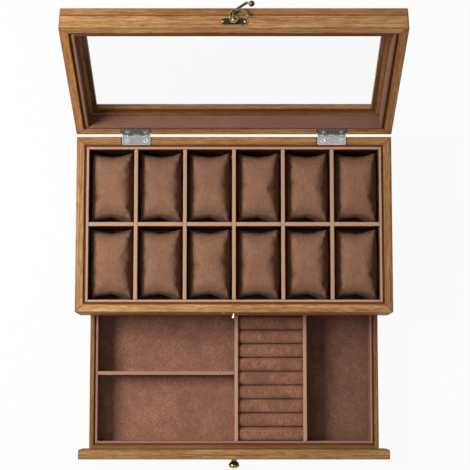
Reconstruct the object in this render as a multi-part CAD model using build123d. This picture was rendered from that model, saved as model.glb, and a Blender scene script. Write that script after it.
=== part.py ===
from build123d import *
import math
import os

# A wooden watch box: a mitred case with twelve velvet slots, each holding a pillow,
# a glazed lid on two butt hinges, a swing hook latch, and a velvet-lined drawer below.
# Millimetres, +Z up, +Y to the back, origin at the centre of the case's underside.
# Everything is drawn closed, then the lid is opened and the drawer pulled out, which
# is how the box stands at rest.

# Overall sizes
case_width = 350.0
case_depth = 195.6
case_height = 95.0
lid_height = 25.0
lid_open_angle = 112.0
lid_gap = 0.4

# Case boards
wall = 9.0
board_ease = 0.8
corner_ease = 1.2
shelf_depth = 45.0
shelf_thickness = 5.0
shelf_groove = 3.0
base_thickness = 5.0
base_rebate = 4.0
felt_thickness = 1.0
felt_margin = 2.0
front_panel_lip = 1.5
guide_thickness = 3.0
guide_height = 12.0
guide_clearance = 0.3
stop_end_gap = 16.0
stop_depth = 10.1
stop_front_gap = 0.5
stop_clearance = 0.3

# Velvet-covered boards of the tray
velvet_thickness = 1.0
tray_groove = 2.3
tray_lining_thickness = 2.8
tray_divider_thickness = 4.3
tray_row_divider_thickness = 4.6
tray_lining_drop = 0.4
columns = 6
rows = 2

# Watch pillows
pillow_side_gap = 0.6
pillow_end_gap = 0.5
pillow_floor_gap = 0.3
pillow_crown_drop = 2.6
pillow_shoulder_inset = 6.4
pillow_shoulder_drop = 2.6
pillow_foot_inset = 5.4
pillow_end_height_share = 0.86
pillow_end_width_share = 0.97
pillow_pinch = 4.8
pillow_stations = (-1, -0.7, 0, 0.7, 1)

# Lid
rail_height = 15.8
frame_width = 23.5
glass_thickness = 2.2
glass_rebate = 4.0
glass_clearance = 0.3
rail_ease = 0.4
lid_groove = 2.6
lid_lining_thickness = 3.0
lid_lining_drop = 0.4

# Butt hinges
hinge_centre = 108.7
leaf_length = 31.5
leaf_thickness = 1.0
leaf_corner_radius = 1.6
mortise_clearance = 0.9
pin_setback = 1.7
pin_radius = 0.7
pin_clearance = 0.05
knuckle_radius = 1.5
knuckle_count = 5
knuckle_gap = 0.5
hinge_screw_spacing = 20.4
hinge_screw_inset = 4.4
screw_head_radius = 2.2
screw_shank_radius = 1.1
screw_length = 8.0
screw_clearance = 0.1
screw_sink = 0.2
cross_length = 2.3
cross_width = 0.6
cross_depth = 0.6

# Swing hook latch, its hook drawn in the plane of the lid's front about its pivot
latch_plate_length = 28.0
latch_plate_height = 9.2
latch_plate_rise = 7.6
pivot_rise = 1.0
strike_plate_length = 28.6
strike_plate_height = 8.0
strike_plate_drop = 4.2
plate_thickness = 0.8
pivot_to_stud = 11.6
nail_spacing = 22.4
nail_head_radius = 1.4
nail_head_height = 0.5
nail_shank_radius = 0.7
nail_length = 5.0
hook_lift = 1.2
hook_thickness = 1.6
hub_radius = 4.4
hub_rim_width = 0.9
hub_rim_height = 0.3
rivet_radius = 1.25
rivet_head_radius = 2.3
rivet_head_height = 0.9
rivet_depth = 4.0
rivet_clearance = 0.05
rivet_head_gap = 0.2
hook_outer_radius = 9.4
hook_outer_centre = (4.8, 4.2)
hook_inner_radius = 7.0
hook_inner_centre = (5.8, 4.0)
lever_radius = 1.35
lever_root = (1.9, 12.0)
lever_elbow = (12.6, 20.6)
ball_centre = (17.8, 18.9)
lever_bend_radius = 3.0
ball_radius = 3.1
ball_lift = 0.9
stud_neck_radius = 1.3
stud_head_radius = 2.85
stud_head_side = 2.0
stud_head_dome = 1.4
stud_head_gap = 0.4
stud_depth = 6.0

# Drawer
front_thickness = 11.5
front_setback = 0.2
front_top_gap = 1.8
front_floor_gap = 2.5
front_corner_radius = 2.6
drawer_side_drop = 1.3
drawer_wood = 4.8
drawer_back_gap = 0.8
drawer_run_gap = 0.3
drawer_head_gap = 1.0
bottom_thickness = 3.0
bottom_lift = 2.0
bottom_groove = 2.4
drawer_groove = 1.8
drawer_lining_thickness = 2.4
drawer_lining_drop = 0.5
drawer_divider_thickness = 4.2
divider_left_x = 2.6
divider_right_x = 80.1
divider_cross_y = -1.2
roll_count = 10
roll_gap = 0.2
roll_top_drop = 2.6
roll_crown = 5.5

# Knob
knob_radius = 6.2
knob_widest_at = 7.0
knob_band = 1.3
knob_height = 10.8
knob_neck_radius = 3.1
knob_neck_end = 2.6
knob_foot_radius = 4.2
knob_foot_height = 0.8
knob_bore_depth = 7.0
knob_screw_radius = 1.9
knob_screw_head_radius = 3.5
knob_screw_head_height = 1.4
knob_screw_reach = 6.0

# Places worked out from the sizes above
half_width = case_width / 2
half_depth = case_depth / 2
front_face = -half_depth
rim = case_height
lid_floor = rim + lid_gap
lid_top = lid_floor + lid_height
inner_x = half_width - wall
inner_y = half_depth - wall
shelf_top = rim - shelf_depth
shelf_bottom = shelf_top - shelf_thickness
base_top = felt_thickness + base_thickness
panel_bottom = shelf_bottom - front_panel_lip
opening_front = front_face + front_thickness + front_setback
tray_floor = shelf_top + velvet_thickness
tray_top = rim - tray_lining_drop
pin_y = half_depth + pin_setback
pin_z = rim + lid_gap / 2
lid_hinge = Axis((0, pin_y, pin_z), (1, 0, 0))

latch_plate_z = lid_floor + latch_plate_rise
pivot_z = latch_plate_z + pivot_rise
stud_z = pivot_z - pivot_to_stud
strike_z = rim - strike_plate_drop
hook_back = plate_thickness + hook_lift
hook_front = hook_back + hook_thickness

front_top = panel_bottom - front_top_gap
drawer_top = front_top - drawer_side_drop
drawer_bottom = base_top + drawer_run_gap
drawer_front_y = front_face + front_thickness
drawer_back_y = inner_y - drawer_back_gap
drawer_half = inner_x - guide_thickness - guide_clearance
drawer_inner_x = drawer_half - drawer_wood
drawer_inner_y = (drawer_front_y + drawer_wood, drawer_back_y - drawer_wood)
bottom_z = (drawer_bottom + bottom_lift, drawer_bottom + bottom_lift + bottom_thickness)
drawer_floor = bottom_z[1] + velvet_thickness
drawer_lining_top = drawer_top - drawer_lining_drop
drawer_back_top = shelf_bottom - drawer_head_gap
knob_z = (front_floor_gap + front_top) / 2
drawer_travel = drawer_inner_y[1] - stop_clearance - (stop_depth - inner_y)
pull_out = Pos(0, -drawer_travel, 0)


def block(x, y, z):
    """A board between a low and a high value on each axis."""
    middle = Pos((x[0] + x[1]) / 2, (y[0] + y[1]) / 2, (z[0] + z[1]) / 2)
    return middle * Box(x[1] - x[0], y[1] - y[0], z[1] - z[0])


def both(reach):
    """The span from minus a value to plus that value."""
    return (-reach, reach)


def ring(half_x, half_y, thickness, z):
    """A rectangular wall of even thickness, open at top and bottom, its edges eased."""
    shell = block(both(half_x), both(half_y), z)
    shell = fillet(shell.edges().filter_by(Axis.Z), corner_ease)
    return shell - block(both(half_x - thickness), both(half_y - thickness), z)


def mitred(shape, half_x, half_y, thickness):
    """Cuts a ring into four boards along the mitre lines of its corners."""
    low, high = shape.bounding_box().min.Z, shape.bounding_box().max.Z
    boards = {}
    for side, ends in {
        "left": ((-1, -1), (-1, 1)),
        "right": ((1, 1), (1, -1)),
        "rear": ((-1, 1), (1, 1)),
        "front": ((1, -1), (-1, -1)),
    }.items():
        outer = [(x * half_x, y * half_y) for x, y in ends]
        inner = [(x * (half_x - thickness), y * (half_y - thickness)) for x, y in reversed(ends)]
        wedge = extrude(make_face(Polyline(*outer, *inner, close=True)), amount=high - low)
        boards[side] = shape & (Pos(0, 0, low) * wedge)
    return boards


def lining(half_x, y, thickness, z):
    """Four velvet-covered boards standing in a rectangle, butted at the corners."""
    inner = both(half_x - thickness)
    return [
        block((-half_x, inner[0]), y, z),
        block((inner[1], half_x), y, z),
        block(inner, (y[0], y[0] + thickness), z),
        block(inner, (y[1] - thickness, y[1]), z),
    ]


def on_front(z, x=0.0):
    """A place on the front face whose own z points out of the box and y points up."""
    return Pos(x, front_face, z) * Rot(90, 0, 0)


def turned(*outline):
    """A turned piece standing along z, from its outline as radius and height."""
    return Rot(90, 0, 0) * revolve(make_face(outline), Axis.Y)


def cap(base_radius, base, height):
    """The arc of a spherical dome from its edge to the axis, its height up or down."""
    rise = abs(height)
    radius = (base_radius**2 + rise**2) / (2 * rise)
    half_way = math.atan2(base_radius, radius - rise) / 2
    up = math.copysign(rise - radius * (1 - math.cos(half_way)), height)
    return ThreePointArc((base_radius, base), (radius * math.sin(half_way), base + up), (0, base + height))


def nail(head_radius, head_height, shank_radius, depth, seat=0.0):
    """A domed nail or rivet: its head rests at the seat and its shank goes down."""
    return turned(
        Polyline((0, seat + head_height), (0, -depth), (shank_radius, -depth), (shank_radius, seat)),
        Line((shank_radius, seat), (head_radius, seat)),
        cap(head_radius, seat, head_height),
    )


def save(name, *pieces):
    """Writes one sub-part, made of one solid or of several separate ones."""
    solids = [solid for piece in pieces for solid in piece.solids()]
    shape = solids[0] if len(solids) == 1 else Compound(children=solids)
    export_step(shape, f"parts/{name}.step")


def opened(shape):
    """Swings a piece of the lid from closed to its open rest."""
    return shape.rotate(lid_hinge, -lid_open_angle)


# Hinges

def hinge_screw(extra=0.0, sink=0.0):
    """A countersunk screw, its head up and a little below height 0, or its hole when made larger."""
    head, shank = screw_head_radius + extra, screw_shank_radius + extra
    tip = -screw_length - extra
    outline = Polyline((0, -sink), (head - sink, -sink), (shank, shank - head), (shank, tip), (0, tip), close=True)
    return turned(outline)


def driven_screw():
    """The screw as it sits in its hole, with the cross for the driver."""
    cross = Box(cross_length, cross_width, 2 * cross_depth) + Box(cross_width, cross_length, 2 * cross_depth)
    return hinge_screw(sink=screw_sink) - Pos(0, 0, -screw_sink) * cross


def hinge_screw_places():
    """The places of the case leaves' four screws, at the height of the rim."""
    y = half_depth - hinge_screw_inset
    centres = (-hinge_centre, hinge_centre)
    steps = (-hinge_screw_spacing / 2, hinge_screw_spacing / 2)
    return [Pos(centre + step, y, rim) for centre in centres for step in steps]


def hinge_leaf(centre, knuckles):
    """A leaf lying on the case's rim, with the knuckles it carries round the pin."""
    low = centre - leaf_length / 2
    z = (rim - leaf_thickness, rim)
    leaf = block((low, low + leaf_length), (inner_y, half_depth), z)
    leaf = fillet(leaf.edges().filter_by(Axis.Z).sort_by(Axis.Y)[:2], leaf_corner_radius)
    pitch = leaf_length / knuckle_count
    for k in knuckles:
        start = low + k * pitch + (knuckle_gap / 2 if k > 0 else 0)
        end = low + (k + 1) * pitch - (knuckle_gap / 2 if k < knuckle_count - 1 else 0)
        barrel = Rot(0, 90, 0) * Cylinder(knuckle_radius, end - start)
        leaf += block((start, end), (half_depth, pin_y), z)
        leaf += Pos((start + end) / 2, pin_y, pin_z) * barrel
    bore = Rot(0, 90, 0) * Cylinder(pin_radius + pin_clearance, leaf_length + 2)
    leaf -= Pos(centre, pin_y, pin_z) * bore
    for place in hinge_screw_places():
        leaf -= place * hinge_screw(screw_clearance)
    return leaf


def on_lid(shape):
    """Turns what is drawn on the case's rim into its opposite number on the lid."""
    return mirror(shape, about=Plane.XY.offset(pin_z))


def mortises():
    """The recesses of both leaves in the case's rear wall."""
    reach = leaf_length / 2 + mortise_clearance
    y = (inner_y - 1, half_depth + 1)
    z = (rim - leaf_thickness, rim + 1)
    return [block((c - reach, c + reach), y, z) for c in (-hinge_centre, hinge_centre)]


def make_hinges():
    """Two leaves a side, one pin through each pair, and their screws."""
    case_knuckles = range(0, knuckle_count, 2)
    lid_knuckles = range(1, knuckle_count, 2)
    pins = []
    for side, centre in (("left", -hinge_centre), ("right", hinge_centre)):
        save(f"hinge_leaf_case_{side}", hinge_leaf(centre, case_knuckles))
        save(f"hinge_leaf_lid_{side}", opened(on_lid(hinge_leaf(centre, lid_knuckles))))
        pins.append(Pos(centre, pin_y, pin_z) * Rot(0, 90, 0) * Cylinder(pin_radius, leaf_length))
    screws = [place * driven_screw() for place in hinge_screw_places()]
    save("hinge_pins", *pins)
    save("hinge_screws_case", *screws)
    save("hinge_screws_lid", *[opened(on_lid(screw)) for screw in screws])


# Case

def shelf_board():
    """The tray's floor board, let into grooves in all four walls."""
    reach_x, reach_y = inner_x + shelf_groove, inner_y + shelf_groove
    return block(both(reach_x), both(reach_y), (shelf_bottom, shelf_top))


def base_board():
    """The bottom board, rebated into the side and rear walls."""
    reach_x, reach_y = inner_x + base_rebate, inner_y + base_rebate
    return block(both(reach_x), (opening_front, reach_y), (felt_thickness, base_top))


def nail_bores(z):
    """The holes of a latch plate's two nails."""
    bore = Cylinder(nail_shank_radius + screw_clearance, 2 * (nail_length + screw_clearance))
    return [on_front(z, x) * bore for x in (-nail_spacing / 2, nail_spacing / 2)]


def make_case():
    """Walls, front panel, shelf, base, felt, drawer guides and drawer stop."""
    z = (felt_thickness, rim)
    shell = ring(half_width, half_depth, wall, z)
    shell = fillet(shell.faces().sort_by(Axis.Z)[-1].edges(), board_ease)
    shell -= block(both(half_width), (front_face, opening_front), (0, panel_bottom))
    shell -= shelf_board()
    shell -= base_board()
    shell -= mortises()
    shell -= [place * hinge_screw(screw_clearance) for place in hinge_screw_places()]
    shell -= nail_bores(strike_z)
    shell -= on_front(stud_z) * Cylinder(stud_neck_radius + screw_clearance, 2 * (stud_depth + screw_clearance))
    boards = mitred(shell, half_width, half_depth, wall)
    save("case_wall_left", boards["left"])
    save("case_wall_right", boards["right"])
    save("case_wall_rear", boards["rear"])
    save("front_panel", boards["front"])
    save("shelf", shelf_board())
    save("base_board", base_board())
    felt_y = (opening_front + felt_margin, half_depth - felt_margin)
    save("base_felt", block(both(half_width - felt_margin), felt_y, (0, felt_thickness)))
    guide_z = (base_top, base_top + guide_height)
    guide_y = (opening_front, inner_y)
    guide_x = (inner_x - guide_thickness, inner_x)
    guide = block(guide_x, guide_y, guide_z)
    save("drawer_guides", guide, mirror(guide, about=Plane.YZ))
    stop_y = (-inner_y, -inner_y + stop_depth)
    stop_z = (front_top + stop_front_gap, shelf_bottom)
    save("drawer_stop", block(both(inner_x - stop_end_gap), stop_y, stop_z))


# Tray

def slot_edges(low, high, count, thickness):
    """The slots between two walls with evenly spaced dividers, as low and high edges."""
    width = (high - low - (count - 1) * thickness) / count
    starts = [low + k * (width + thickness) for k in range(count)]
    return [(start, start + width) for start in starts]


def make_tray():
    """The velvet floor, the lining boards and the cross-halved dividers."""
    reach_x = inner_x - tray_groove
    reach_y = inner_y - tray_groove
    z = (tray_floor, tray_top)
    save("tray_velvet", block(both(inner_x), both(inner_y), (shelf_top, tray_floor)))
    save("tray_lining", *lining(reach_x, both(reach_y), tray_lining_thickness, z))
    inside_x = both(reach_x - tray_lining_thickness)
    inside_y = both(reach_y - tray_lining_thickness)
    slots_x = slot_edges(*inside_x, columns, tray_divider_thickness)
    slots_y = slot_edges(*inside_y, rows, tray_row_divider_thickness)
    half_z = (tray_floor + tray_top) / 2
    gaps_x = [(slots_x[k][1], slots_x[k + 1][0]) for k in range(columns - 1)]
    gap_y = (slots_y[0][1], slots_y[1][0])
    row_divider = block(inside_x, gap_y, z)
    row_divider -= [block(gap_x, gap_y, (half_z, tray_top)) for gap_x in gaps_x]
    save("tray_divider_long", row_divider)
    notch = (tray_floor, half_z)
    columns_up = [block(gap_x, inside_y, z) - block(gap_x, gap_y, notch) for gap_x in gaps_x]
    save("tray_dividers", *columns_up)
    return slots_x, slots_y


def pillow(width, length):
    """A crowned cushion whose sides bulge and whose ends are drawn in between the corners."""
    height = rim - pillow_crown_drop - tray_floor - pillow_floor_gap
    sections = []
    for station in pillow_stations:
        swell = math.cos(station * math.pi / 2)
        tall = height * (pillow_end_height_share + (1 - pillow_end_height_share) * swell)
        wide = pillow_end_width_share + (1 - pillow_end_width_share) * swell
        foot = (width / 2 - pillow_foot_inset) * wide
        side = width / 2 * wide
        shoulder = (width / 2 - pillow_shoulder_inset) * wide
        edge = tall - pillow_shoulder_drop
        outline = [
            Line((-foot, 0), (foot, 0)),
            ThreePointArc((foot, 0), (side, edge / 2), (shoulder, edge)),
            ThreePointArc((shoulder, edge), (0, tall), (-shoulder, edge)),
            ThreePointArc((-shoulder, edge), (-side, edge / 2), (-foot, 0)),
        ]
        sections.append(Pos(0, station * length / 2, 0) * Rot(90, 0, 0) * make_face(outline))
    body = loft(sections, ruled=True)
    pinch_radius = ((width / 2) ** 2 + pillow_pinch**2) / (2 * pillow_pinch)
    reach = length / 2 - pillow_pinch + pinch_radius
    return body - [Pos(0, end * reach, height / 2) * Cylinder(pinch_radius, 2 * height) for end in (-1, 1)]


def make_pillows(slots_x, slots_y):
    """One pillow a slot, numbered from the rear left, a row at a time."""
    width = slots_x[0][1] - slots_x[0][0] - 2 * pillow_side_gap
    length = slots_y[0][1] - slots_y[0][0] - 2 * pillow_end_gap
    cushion = pillow(width, length)
    places = [(x, y) for y in reversed(slots_y) for x in slots_x]
    for number, (x, y) in enumerate(places, start=1):
        place = Pos(sum(x) / 2, sum(y) / 2, tray_floor + pillow_floor_gap)
        save(f"pillow_{number:02d}", place * cushion)


# Lid

def make_lid():
    """Four mitred rails, a mitred top frame with the glass in its rebate, and the lining."""
    split = lid_floor + rail_height
    rails = ring(half_width, half_depth, wall, (lid_floor, split))
    rails = chamfer(rails.faces().sort_by(Axis.Z)[-1].outer_wire().edges(), rail_ease)
    rails -= [on_lid(cut) for cut in mortises()]
    rails -= [on_lid(place * hinge_screw(screw_clearance)) for place in hinge_screw_places()]
    rails -= nail_bores(latch_plate_z)
    rails -= on_front(pivot_z) * Cylinder(rivet_radius + screw_clearance, 2 * (rivet_depth + screw_clearance))
    for side, board in mitred(rails, half_width, half_depth, wall).items():
        save(f"lid_rail_{side}", opened(board))

    frame = ring(half_width, half_depth, frame_width, (split, lid_top))
    frame = fillet(frame.faces().sort_by(Axis.Z)[-1].edges(), board_ease)
    glass_x = half_width - frame_width + glass_rebate
    glass_y = half_depth - frame_width + glass_rebate
    glass_z = (split, split + glass_thickness)
    frame -= block(both(glass_x), both(glass_y), glass_z)
    boards = mitred(frame, half_width, half_depth, frame_width)
    save("lid_frame", *[opened(board) for board in boards.values()])
    pane = block(both(glass_x - glass_clearance), both(glass_y - glass_clearance), glass_z)
    save("lid_glass", opened(pane))

    reach_x, reach_y = inner_x - lid_groove, inner_y - lid_groove
    boards = lining(reach_x, both(reach_y), lid_lining_thickness, (lid_floor + lid_lining_drop, split))
    save("lid_lining", *[opened(board) for board in boards])


# Latch

def rounded_plate(length, height, z):
    """A thin plate with rounded ends, nailed flat to the front."""
    plate = extrude(SlotOverall(length, height), amount=plate_thickness)
    return on_front(z) * plate - nail_bores(z)


def hook():
    """The swing hook at rest: hub, tapering crescent, bent lever and ball."""
    crescent = Pos(*hook_outer_centre) * Circle(hook_outer_radius)
    crescent -= Pos(*hook_inner_centre) * Circle(hook_inner_radius)
    tip_y = hook_inner_centre[1]
    reach = 2 * hook_outer_radius
    crescent -= Pos(0, -reach / 2) * Rectangle(2 * reach, reach)
    crescent -= Pos(hub_radius + reach / 2, tip_y - reach / 2) * Rectangle(reach, reach)
    outer_tip = hook_outer_centre[0] + hook_outer_radius
    inner_tip = hook_inner_centre[0] + hook_inner_radius
    tip = Pos((outer_tip + inner_tip) / 2, tip_y) * Circle((outer_tip - inner_tip) / 2 - 0.05)
    flat = Pos(0, 0, hook_back) * extrude(crescent + tip + Circle(hub_radius), amount=hook_thickness)
    rim_ring = Circle(hub_radius) - Circle(hub_radius - hub_rim_width)
    flat += Pos(0, 0, hook_front) * extrude(rim_ring, amount=hub_rim_height)
    flat -= Cylinder(rivet_radius + rivet_clearance, 4 * hook_front)
    middle = hook_back + hook_thickness / 2
    root = Vector(*lever_root, middle)
    elbow = Vector(*lever_elbow, middle)
    end = Vector(*ball_centre, middle + ball_lift)
    path = FilletPolyline(root, elbow, end, radius=lever_bend_radius)
    section = Plane(origin=path @ 0, z_dir=path % 0) * Circle(lever_radius)
    lever = sweep(section, path=path)
    return on_front(pivot_z) * (flat + lever + Pos(*end) * Sphere(ball_radius))


def make_latch():
    """The hook on its plate and rivet, and the stud on the strike plate below."""
    plate = rounded_plate(latch_plate_length, latch_plate_height, latch_plate_z)
    plate -= on_front(pivot_z) * Cylinder(rivet_radius + screw_clearance, 4)
    save("latch_plate", opened(plate))
    rivet_seat = hook_front + rivet_head_gap
    rivet = nail(rivet_head_radius, rivet_head_height, rivet_radius, rivet_depth, rivet_seat)
    save("latch_rivet", opened(on_front(pivot_z) * rivet))
    save("latch_hook", opened(hook()))

    plate = rounded_plate(strike_plate_length, strike_plate_height, strike_z)
    plate -= on_front(stud_z) * Cylinder(stud_neck_radius + screw_clearance, 4)
    save("strike_plate", plate)
    stud_seat = hook_front + stud_head_gap
    stud_side = stud_seat + stud_head_side
    stud = turned(
        Polyline((0, stud_side + stud_head_dome), (0, -stud_depth), (stud_neck_radius, -stud_depth)),
        Polyline((stud_neck_radius, -stud_depth), (stud_neck_radius, stud_seat), (stud_head_radius, stud_seat)),
        Line((stud_head_radius, stud_seat), (stud_head_radius, stud_side)),
        cap(stud_head_radius, stud_side, stud_head_dome),
    )
    save("strike_stud", on_front(stud_z) * stud)

    small_nail = nail(nail_head_radius, nail_head_height, nail_shank_radius, nail_length, plate_thickness)
    for name, z, place in (("latch_nails", latch_plate_z, opened), ("strike_nails", strike_z, lambda shape: shape)):
        nails = [on_front(z, x) * small_nail for x in (-nail_spacing / 2, nail_spacing / 2)]
        save(name, *[place(one) for one in nails])


# Drawer

def make_drawer_box():
    """The front, the four boards of the box and the bottom held in their grooves."""
    face = block(both(half_width), (front_face, drawer_front_y), (front_floor_gap, front_top))
    back_corners = face.edges().filter_by(Axis.Z).sort_by(Axis.Y)[-2:]
    face = fillet(back_corners, front_corner_radius)
    face = fillet(face.faces().sort_by(Axis.Y)[0].edges(), board_ease)
    screw_bore = on_front(knob_z) * Cylinder(knob_screw_radius + screw_clearance, 4 * front_thickness)
    save("drawer_front", pull_out * (face - screw_bore))

    bottom_x = both(drawer_inner_x + bottom_groove)
    bottom_y = (drawer_inner_y[0] - bottom_groove, drawer_inner_y[1] + bottom_groove)
    bottom = block(bottom_x, bottom_y, bottom_z)
    save("drawer_bottom", pull_out * bottom)
    y = (drawer_front_y, drawer_back_y)
    z = (drawer_bottom, drawer_top)
    for side, x in (("left", (-drawer_half, -drawer_inner_x)), ("right", (drawer_inner_x, drawer_half))):
        save(f"drawer_side_{side}", pull_out * (block(x, y, z) - bottom))
    inner = both(drawer_inner_x)
    box_front = block(inner, (y[0], drawer_inner_y[0]), z) - bottom - screw_bore
    save("drawer_box_front", pull_out * box_front)
    back = block(inner, (drawer_inner_y[1], y[1]), (drawer_bottom, drawer_back_top)) - bottom
    save("drawer_back", pull_out * back)
    floor = block(inner, drawer_inner_y, (bottom_z[1], drawer_floor))
    save("drawer_velvet", pull_out * floor)


def make_drawer_inside():
    """The lining, the dividers and the row of ring rolls."""
    z = (drawer_floor, drawer_lining_top)
    reach_x = drawer_inner_x - drawer_groove
    lining_y = (drawer_inner_y[0] + drawer_groove, drawer_inner_y[1] - drawer_groove)
    boards = lining(reach_x, lining_y, drawer_lining_thickness, z)
    save("drawer_lining", *[pull_out * board for board in boards])
    inside_x = both(reach_x - drawer_lining_thickness)
    inside_y = (lining_y[0] + drawer_lining_thickness, lining_y[1] - drawer_lining_thickness)
    half = drawer_divider_thickness / 2
    for side, x in (("left", divider_left_x), ("right", divider_right_x)):
        save(f"drawer_divider_{side}", pull_out * block((x - half, x + half), inside_y, z))
    cross = block((inside_x[0], divider_left_x - half), (divider_cross_y - half, divider_cross_y + half), z)
    save("drawer_divider_cross", pull_out * cross)

    roll_x = (divider_left_x + half, divider_right_x - half)
    pitch = (inside_y[1] - inside_y[0]) / roll_count
    crown_z = drawer_lining_top - roll_top_drop
    shoulder_z = crown_z - roll_crown
    reach = (pitch - roll_gap) / 2
    outline = [
        Polyline((-reach, shoulder_z), (-reach, drawer_floor), (reach, drawer_floor), (reach, shoulder_z)),
        ThreePointArc((reach, shoulder_z), (0, crown_z), (-reach, shoulder_z)),
    ]
    roll = extrude(Plane.YZ * make_face(outline), amount=roll_x[1] - roll_x[0])
    centres = [inside_y[0] + (k + 0.5) * pitch for k in range(roll_count)]
    save("ring_rolls", *[pull_out * Pos(roll_x[0], y, 0) * roll for y in centres])


def make_knob():
    """A turned knob on a small foot, drawn up by a screw from inside the drawer."""
    knob_band_end = knob_widest_at + knob_band
    body = turned(
        Polyline((0, 0), (knob_foot_radius, 0), (knob_foot_radius, knob_foot_height)),
        Line((knob_foot_radius, knob_foot_height), (knob_neck_radius, knob_foot_height)),
        Line((knob_neck_radius, knob_foot_height), (knob_neck_radius, knob_neck_end)),
        TangentArc((knob_neck_radius, knob_neck_end), (knob_radius, knob_widest_at), tangent=(0.9, 0.45)),
        Line((knob_radius, knob_widest_at), (knob_radius, knob_band_end)),
        cap(knob_radius, knob_band_end, knob_height - knob_band_end),
        Line((0, knob_height), (0, 0)),
    )
    body -= Cylinder(knob_screw_radius + screw_clearance, 2 * knob_bore_depth)
    save("knob", pull_out * on_front(knob_z) * body)
    head_seat = front_thickness + drawer_wood
    screw = turned(
        Polyline((0, knob_screw_reach), (knob_screw_radius, knob_screw_reach), (knob_screw_radius, -head_seat)),
        Line((knob_screw_radius, -head_seat), (knob_screw_head_radius, -head_seat)),
        cap(knob_screw_head_radius, -head_seat, -knob_screw_head_height),
        Line((0, -head_seat - knob_screw_head_height), (0, knob_screw_reach)),
    )
    save("knob_screw", pull_out * on_front(knob_z) * screw)


os.makedirs("parts", exist_ok=True)
make_case()
make_hinges()
make_pillows(*make_tray())
make_lid()
make_latch()
make_drawer_box()
make_drawer_inside()
make_knob()
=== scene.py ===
import math

import bmesh
import bpy
from mathutils import Matrix, Vector, noise


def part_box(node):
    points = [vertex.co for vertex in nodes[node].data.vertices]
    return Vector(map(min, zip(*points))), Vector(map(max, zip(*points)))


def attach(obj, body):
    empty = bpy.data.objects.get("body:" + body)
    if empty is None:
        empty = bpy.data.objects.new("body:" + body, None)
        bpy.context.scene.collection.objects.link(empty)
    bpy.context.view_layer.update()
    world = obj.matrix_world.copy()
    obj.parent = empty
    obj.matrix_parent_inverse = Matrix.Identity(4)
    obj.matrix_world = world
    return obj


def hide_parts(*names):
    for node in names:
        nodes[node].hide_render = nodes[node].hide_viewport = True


# A wooden watch box, open: materials on its boards and fittings, and the cloth pieces
# inside it, which stand for the plain velvet solids of the model.

# Camera, fitted to the box's edges
camera_place = (0.0011, -0.203467, 1.708812)
camera_tilt = 0.117918
camera_lens = 112.68
camera_sensor = 36.0

# How the lid stands: its hinge line and its angle from closed
lid_pin = (0.0995, 0.0952)
lid_angle = math.radians(-112.0)
half_width = 0.175
half_depth = 0.0978

# Grooves between the linings and the walls, and how far in lies the dark cloth that paints their shade
tray_groove = 0.0022
drawer_groove = 0.0017
lid_groove = 0.0025
groove_shade_depth = 0.0012

# Wood, from its darkest streaks to its lightest
wood_dark = (0.25, 0.115, 0.042)
wood_middle = (0.42, 0.23, 0.088)
wood_light = (0.57, 0.34, 0.145)
wood_red = (0.84, 0.66, 0.56)
wood_pore = (0.1, 0.04, 0.016)
# The dark along sharp edges, also the colour of the painted shade in corners and gaps
wood_edge_and_shade = (0.09, 0.035, 0.014)

# Antique brass, clean and tarnished
antique_brown = (0.2, 0.15, 0.085)
antique_tarnish = (0.06, 0.045, 0.025)

# How far the grain wanders, how wide the darkening along sharp edges is, and how far the painted shade in
# corners and gaps reaches, in metres
grain_wander = 0.0024
edge_dark_reach = 0.0032
painted_shade_reach = 0.0026

# Velvet-covered boards, in metres
board_radius = 0.0005
floor_radius = 0.0004
felt_radius = 0.0003
board_puff = 0.0001
board_pitch = 0.006
board_ripples = 90
board_seed_step = 3.1

# Ring rolls, in metres
roll_crown = 0.0062
roll_crown_power = 0.6
roll_end_radius = 0.0005
roll_pitch = 0.004
roll_tuck = 0.0003
roll_ripple = 0.00018
roll_ripples = 140
roll_turns = 14
roll_seed_step = 2.7

# Watch pillows, in metres: the sleeve's form, and how it is stuffed
pillow_roundness = 5.4
pillow_end_squareness = 1.6
pillow_square_power = 8
pillow_waist = 0.93
pillow_waist_power = 5
pillow_drop_power = 4
pillow_end_drop = 0.0085
pillow_corner_drop = 0.0055
pillow_settle = 0.0014
pillow_pinch = 0.0062
pillow_dimple = 0.0006
pillow_ripple = 0.0004
pillow_ripples = 60
pillow_stations = 14
pillow_turns = 44
pillow_seed_step = 5.3
pillow_swell = 0.0014
pillow_voxel = 0.002
pillow_seam = 0.006
pillow_slack = 0.012
pillow_pressure = 40.0
pillow_frames = 16
pillow_cap = 0.0025
pillow_shapes = 4
pillow_count = 12

# Velvet: how much the nap's tone and its pressed patches differ
nap_contrast = 2.2
nap_pressing = 1.6

# Room: half the floor's width in metres, its grey, and how white it is where it is seen
floor_reach = 6.0
floor_grey = 0.6
floor_white = 0.95

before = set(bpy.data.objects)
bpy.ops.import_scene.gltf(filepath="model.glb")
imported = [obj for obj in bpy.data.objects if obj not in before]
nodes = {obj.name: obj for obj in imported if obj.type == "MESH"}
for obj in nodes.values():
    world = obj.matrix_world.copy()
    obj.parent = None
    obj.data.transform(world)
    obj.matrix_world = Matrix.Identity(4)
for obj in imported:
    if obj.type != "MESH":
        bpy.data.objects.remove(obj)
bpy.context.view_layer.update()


# Shader nodes

def new_material(name):
    """A material with a node tree, its shader and its output."""
    material = bpy.data.materials.new(name)
    material.use_nodes = True
    tree = material.node_tree
    tree.nodes.clear()
    output = tree.nodes.new("ShaderNodeOutputMaterial")
    shader = tree.nodes.new("ShaderNodeBsdfPrincipled")
    tree.links.new(shader.outputs["BSDF"], output.inputs["Surface"])
    return material, tree, shader


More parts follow.
